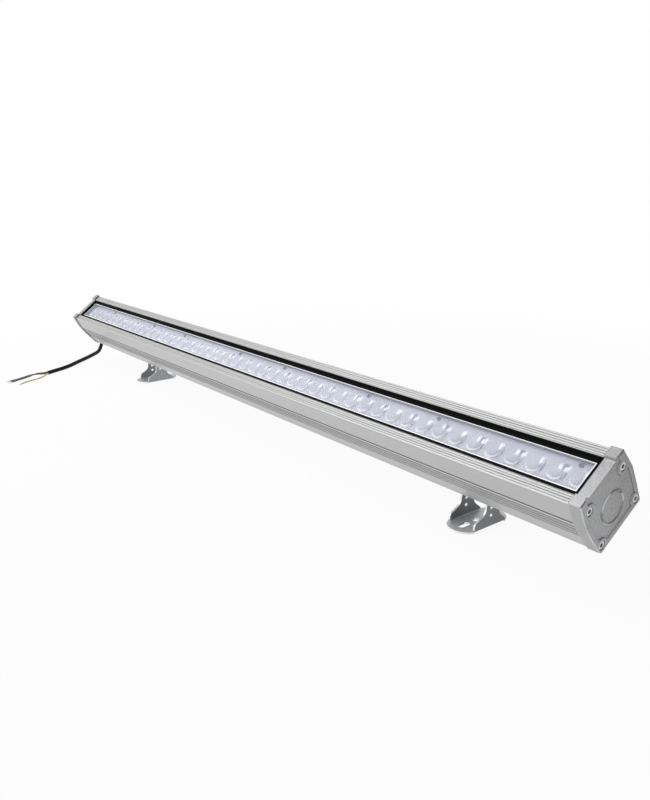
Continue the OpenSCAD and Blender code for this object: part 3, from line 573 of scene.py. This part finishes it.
def cast_cap():
    s = Shader("cast_cap", grey(0.36), 0.48, 0.35)
    soft = s.bevel(0.8 * MM)
    place = s.lamp_place()
    speckle = s.noise(s.place(), 750.0, 2.0)
    # Painted highlights on the rounded edges, with the ring's painted light and shade
    edges = s.product(s.end_edges(soft), 0.8)
    edge_lit = s.mix(edges, cap_metal(s, place, speckle), cap_edge_light(s, place, soft))
    # Painted shade in the cap's corners
    s.color(s.mix(s.corner_shade_mask(2.0 * MM, 0.4, 0.95), cap_corner_shade(s), edge_lit))
    s.rough(s.span(speckle, 0.38, 0.58))
    s.bump(s.noise(s.place(), 1100.0), 0.06 * MM, 0.7)
    s.bump(speckle, 0.04 * MM, 0.6)
    s.start_bumps(soft)
    return s.material


# Window: seal, glass and lenses
def silicone():
    s = Shader("silicone", grey(0.002), 0.8)
    s.set("Specular IOR Level", 0.08)
    ripple = s.grain(1.0, 3.0, (0.7, 0.9), (0.04 * MM, 0.5), (30, 300, 300))
    s.color(s.tinted(ripple, grey(0.001), grey(0.004)))
    return s.material


def window_glass():
    """Clear in the middle, white and frosted where its rim is ground, black under the seal; the
    ground rim glows with a painted highlight.
    """
    s = Shader("window_glass", (0.74, 0.77, 0.90), 0.04)
    s.set("Specular IOR Level", 0.12)
    place = s.lamp_place()
    top = s.above(s.axes(place)[2], GLASS_TOP, GLASS_SOFT)
    rim = s.product(s.glass_rim(place, GROUND_RIM), top)
    sealed = s.product(s.glass_rim(place, SEALED_RIM), top)
    side = s.minus(s.glass_rim(place, SIDE_RIM), top)
    frost = s.noise(s.place(), 2500.0, 2.0)
    haze = s.noise(s.place(), 30.0, 2.0)
    ground = s.tinted(frost, (0.90, 0.91, 0.94), WHITE)
    clear = s.tinted(haze, (0.68, 0.70, 0.80), (0.78, 0.80, 0.88))
    color = s.mix(side, s.mix(rim, clear, ground), (0.40, 0.41, 0.48))
    s.color(s.mix(sealed, color, grey(0.002)))
    # Painted highlight: the ground rim glows
    s.glow(s.mix(sealed, s.mix(rim, BLACK, WHITE), BLACK), 0.3)
    solid = s.larger(rim, side)
    s.link(s.span(solid, 0.22, 1.0, 0.0, 1.0), s.surface.inputs["Alpha"])
    s.rough(s.span(solid, 0.03, 0.5, 0.0, 1.0))
    return s.material


def lens_rib_shade(s, place, loose):
    """Painted shade in fine lines at the front of each lens, which only the near lenses show."""
    x = s.axes(place)[0]
    waves = s.math("SINE", s.product(x, 2 * math.pi / RIB_PITCH))
    ribbed = s.product(s.minus(1.0, s.spot(loose, *CLEAR_OF_RIBS)), s.spot(place, *RIBBED))
    return s.product(ribbed, s.above(x, RIBS_FROM, RIBS_SOFT), s.rise(waves, -0.6, 0.6))


def lens_glint_flecks(s, loose, odd):
    """Painted glints: two bright flecks at the back of every even lens and one in every odd one."""
    first, second = GLINT_PAIR
    pair = s.larger(s.spot(loose, *first), s.spot(loose, *second))
    alone = s.spot(loose, *GLINT_ALONE)
    return s.plus(s.product(pair, s.minus(1.0, odd)), s.product(alone, odd))


def lens_acrylic():
    """A pale bowl with ribs of painted shade, a crescent of painted highlight, a spot of painted
    shade and flecks of painted glint in each lens, white side walls in place of their shade, and
    greyer at the far end.
    """
    s = Shader("lens_acrylic", (0.66, 0.69, 0.78), 0.35)
    s.set("Specular IOR Level", 0.3)
    place = s.lamp_place()
    loose = s.wobbled(place, WOBBLE_SCALE, WOBBLE)
    x = s.axes(place)[0]
    near = s.rise(x, FAR_END_STOP, FAR_END_START)
    odd = s.math("FLOORED_MODULO", s.math("FLOOR", s.math("DIVIDE", x, LENS_PITCH)), 2.0)
    flow = s.grain(130.0, 3.0, (0.34, 0.5))
    color = s.tinted(flow, (0.73, 0.74, 0.80), (0.85, 0.86, 0.92))
    # Painted light: faces that don't look up are white in place of their shade
    color = s.mix(s.rise(s.facing_up(), 0.3, 0.8), WHITE, color)
    color = s.mix(near, (0.60, 0.61, 0.67), color)
    bowl = s.product(s.spot(loose, *BOWL), 0.5, near)
    color = s.mix(bowl, color, (0.84, 0.88, 0.90))
    # Painted shade along the ribs
    color = s.mix(lens_rib_shade(s, place, loose), color, (0.34, 0.35, 0.42))
    # Painted highlight: a white crescent in each lens, then a spot of painted shade
    crescent = s.minus(s.spot(loose, *CRESCENT_OUTSIDE), s.spot(loose, *CRESCENT_INSIDE))
    color = s.mix(s.larger(crescent, 0.0), color, WHITE)
    shade = s.product(s.spot(loose, *SHADE), s.minus(0.9, odd))
    color = s.mix(s.larger(shade, 0.0), color, (0.24, 0.25, 0.32))
    flecks = lens_glint_flecks(s, loose, odd)
    s.color(s.mix(flecks, color, WHITE))
    # The glints and the crescent glow: a painted highlight
    glints = s.larger(flecks, s.product(crescent, 0.7))
    glints = s.product(glints, s.span(near, 0.3, 1.0, 0.0, 1.0))
    s.glow(s.mix(glints, BLACK, WHITE), 0.36)
    return s.material


# Boards and driver
def solder_mask():
    s = Shader("solder_mask", (0.80, 0.81, 0.83), 0.35)
    s.grain(900.0, 2.0, (0.3, 0.45))
    return s.material


def chip_resin():
    s = Shader("chip_resin", (0.85, 0.78, 0.38), 0.25)
    s.color(s.tinted(s.noise(s.place(), 1800.0, 2.0), (0.80, 0.74, 0.42), (0.90, 0.86, 0.56)))
    return s.material


def driver_case():
    s = Shader("driver_metal", (0.40, 0.41, 0.42), 0.4, 0.8)
    s.grain(1.0, 3.0, (0.32, 0.5), stretch=(8, 400, 400))
    return s.material


# Fasteners, brackets and saddles
def plain_steel():
    s = Shader("plain_steel", grey(0.55), 0.28, 0.9)
    grain = s.grain(1600.0, 2.0, (0.22, 0.38), (0.01 * MM, 0.4))
    bright = s.tinted(grain, grey(0.52), grey(0.66))
    # Painted shade in the corners
    s.color(s.mix(s.corner_shade_mask(1.6 * MM), grey(0.006), bright))
    return s.material


def dark_steel():
    s = Shader("dark_steel", (0.05, 0.05, 0.055), 0.35, 0.8)
    s.grain(1600.0, 2.0, (0.28, 0.45))
    return s.material


def bracket_steel():
    """Brushed plate with bright cut edges, with painted light on its level faces and on the far
    bracket's paler ears.
    """
    s = Shader("bracket_steel", (0.30, 0.305, 0.31), 0.40, 0.45)
    patches = s.noise(s.place(), 60.0)
    ears = s.tinted(patches, (0.18, 0.185, 0.195), (0.24, 0.245, 0.255))
    # Painted light: the far bracket's ears and the level faces are paler
    far = s.fall(s.axes(s.coords("Object"))[0], -HALFWAY, HALFWAY)
    ears = s.mix(far, ears, (0.40, 0.405, 0.42))
    base = s.tinted(patches, (0.50, 0.505, 0.52), (0.60, 0.605, 0.62))
    s.color(s.mix(s.cut_edges(), s.mix(s.lit_level_faces(), ears, base), grey(0.95)))
    s.grain(1.0, 3.0, (0.34, 0.5), (0.01 * MM, 0.4), (1500, 60, 60))
    s.start_bumps(s.bevel(0.4 * MM))
    return s.material


def machined_alloy():
    s = Shader("machined_alloy", grey(0.50), 0.36, 0.8)
    s.grain(1.0, 2.0, (0.28, 0.45), (0.01 * MM, 0.4), (1500, 30, 30))
    return s.material


# Gland and wires
def nylon():
    s = Shader("nylon", (0.018, 0.018, 0.019), 0.5)
    s.grain(1400.0, 3.0, (0.42, 0.6), (0.02 * MM, 0.5))
    return s.material


def cable_sheath():
    s = Shader("cable_sheath", grey(0.002), 0.6)
    s.set("Specular IOR Level", 0.15)
    s.grain(1100.0, 3.0, (0.5, 0.7), (0.03 * MM, 0.5))
    return s.material


def insulation(name, a, b):
    s = Shader(name, a, 0.35)
    s.color(s.tinted(s.grain(500.0, 2.0, (0.3, 0.42)), a, b))
    return s.material


def tinned_copper():
    s = Shader("tinned_copper", (0.55, 0.45, 0.34), 0.3, 1.0)
    s.grain(3000.0, 1.0, (0.22, 0.4), (0.1 * MM, 0.6))
    return s.material


# CAD nodes and their materials
def dress(names, material):
    for name in names:
        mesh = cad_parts[name].data
        mesh.materials.clear()
        mesh.materials.append(material)


def sides(prefix):
    return [prefix + "_right", prefix + "_left"]


def four(prefix):
    return ["%s_%d" % (prefix, i) for i in range(1, 5)]


def dress_nodes():
    dress(["housing"], anodised_extrusion())
    dress(sides("end_cap"), cast_cap())
    dress(["glass_seal", "gland_seal"] + sides("cap_gasket"), silicone())
    dress(sides("cap_screws") + sides("clamp_screw") + sides("pivot_bolts")
          + sides("pivot_washers") + sides("slide_nut"), plain_steel())
    dress(["glass_cover"], window_glass())
    dress(four("lens_strip"), lens_acrylic())
    dress(four("led_board"), solder_mask())
    dress(four("led_chips"), chip_resin())
    dress(["strip_screws"], dark_steel())
    dress(["driver_case"], driver_case())
    dress(["gland_body", "gland_nut", "gland_locknut"], nylon())
    dress(["cable_tail"], cable_sheath())
    dress(["supply_leads"], insulation("lead_blue", (0.02, 0.13, 0.42), (0.03, 0.19, 0.55)))
    dress(["board_leads"], insulation("lead_red", (0.45, 0.02, 0.02), (0.55, 0.03, 0.02)))
    dress(["core_tips"], tinned_copper())
    dress(sides("bracket"), bracket_steel())
    dress(sides("saddle"), machined_alloy())


# Cable and cores
def rounded(points, steps=5):
    """A smooth line through the route's points."""
    ends = [points[0] * 2 - points[1]] + points + [points[-1] * 2 - points[-2]]
    line = []
    for a, b, c, d in zip(ends, ends[1:], ends[2:], ends[3:]):
        for k in range(steps):
            t = k / steps
            line.append(0.5 * ((2 * b) + (c - a) * t + (2 * a - 5 * b + 4 * c - d) * t * t
                               + (3 * b - a - 3 * c + d) * t ** 3))
    return line + [points[-1]]


def curve_along(name, points, radius, material):
    data = bpy.data.curves.new(name, "CURVE")
    data.dimensions = "3D"
    data.bevel_depth = radius
    data.bevel_resolution = 6
    data.use_fill_caps = True
    spline = data.splines.new("POLY")
    spline.points.add(len(points) - 1)
    for point, place in zip(spline.points, points):
        point.co = (*place, 1.0)
    data.materials.append(material)
    return add_object(name, data)


def make_cable():
    route = rounded(metres(CABLE_ROUTE))
    cable = curve_along("cable_free", route, CABLE_DIA / 2, cable_sheath())
    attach(cable, "lamp")
    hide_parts("power_cable")
    for name, points, slot, a, b in (
            ("core_blue_bare", BLUE_ROUTE, "wire_blue", (0.03, 0.13, 0.27), (0.05, 0.19, 0.36)),
            ("core_brown_bare", BROWN_ROUTE, "wire_brown", (0.10, 0.04, 0.03), (0.17, 0.07, 0.05)),
            ("core_earth_bare", EARTH_ROUTE, "wire_earth", (0.45, 0.45, 0.16), (0.58, 0.56, 0.24))):
        core = curve_along(name, rounded(metres(points)), CORE_DIA / 2, insulation(name, a, b))
        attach(core, "lamp")
        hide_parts(name.replace("_bare", ""))


# Studio: the world and the floor look white, and light the lamp at a plain level
def make_world():
    world = bpy.data.worlds.new("studio")
    bpy.context.scene.world = world
    world.use_nodes = True
    tree = Tree(world.node_tree)
    background = tree.nodes["Background"]
    background.inputs["Strength"].default_value = 1.0
    tree.link(tree.mix(tree.seen_rays(), SKY, WHITE), background.inputs["Color"])


def area_light(name, place, aim, size, power):
    data = bpy.data.lights.new(name, "AREA")
    data.shape = "RECTANGLE"
    data.size, data.size_y = size
    data.energy = power
    light = add_object(name, data)
    light.location = place
    light.rotation_euler = (Vector(aim) - Vector(place)).to_track_quat("-Z", "Y").to_euler()


def make_lights():
    area_light("top_softbox", **TOP_SOFTBOX)
    area_light("front_softbox", **FRONT_SOFTBOX)


def floor_paper():
    """White paper that glows for seen rays and keeps the lamp's shadow."""
    s = Shader("floor", PAPER, PAPER_ROUGHNESS)
    s.set("Specular IOR Level", 0.0)
    distance = s.node("ShaderNodeVectorMath", operation="LENGTH")
    s.link(s.coords("Object"), distance.inputs[0])
    veil = s.span(distance.outputs["Value"], GLOW_NEAR, GLOW_FAR, GLOW_START, GLOW_STOP)
    both = s.node("ShaderNodeMixShader")
    s.link(s.product(s.seen_rays(), veil), both.inputs["Fac"])
    s.link(s.surface.outputs["BSDF"], both.inputs[1])
    s.link(s.node("ShaderNodeEmission").outputs["Emission"], both.inputs[2])
    s.link(both.outputs["Shader"], s.nodes["Material Output"].inputs["Surface"])
    return s.material


def make_floor():
    mesh = bpy.data.meshes.new("floor")
    form = bmesh.new()
    bmesh.ops.create_grid(form, x_segments=1, y_segments=1, size=FLOOR_HALF)
    form.to_mesh(mesh)
    form.free()
    mesh.materials.append(floor_paper())
    floor = add_object("floor", mesh)


make_camera()
make_cable()
dress_nodes()
make_world()
make_lights()
make_floor()
bpy.context.scene.view_settings.view_transform = "Standard"
